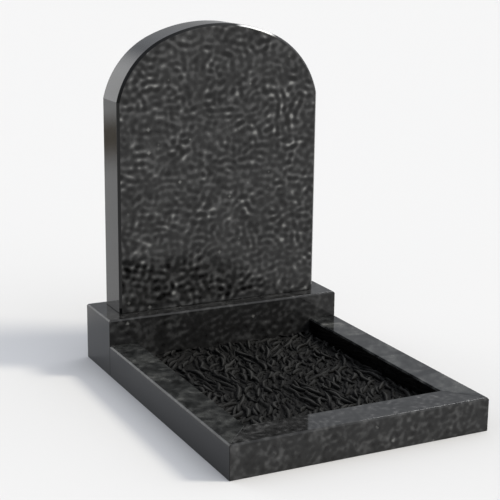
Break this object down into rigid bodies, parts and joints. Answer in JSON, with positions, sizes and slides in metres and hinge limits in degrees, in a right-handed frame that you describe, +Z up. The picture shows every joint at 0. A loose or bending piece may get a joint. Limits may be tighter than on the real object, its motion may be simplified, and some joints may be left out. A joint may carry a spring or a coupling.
{
  "type": "headstone with kerb set",
  "caption": "Polished dark granite headstone with a curved top, standing on a plinth, with low kerbs in front around a bed of dark stone chippings.",
  "frame": {"origin": "on the ground, in the middle of the whole memorial's plan", "axes": "+X to the right as one faces the headstone, +Y towards its back, +Z up"},
  "size_m": [0.6, 0.8, 0.8033],
  "materials": {
    "plinth_granite": "polished",
    "headstone_granite": "polished",
    "kerb_granite": "polished",
    "chippings": "matte"
  },
  "bodies": {
    "root": {"plinth": "plinth_granite", "headstone_slab": "headstone_granite", "left_kerb": "kerb_granite", "right_kerb": "kerb_granite", "front_kerb": "kerb_granite", "chippings_bed": "chippings"}
  },
  "joints": []
}
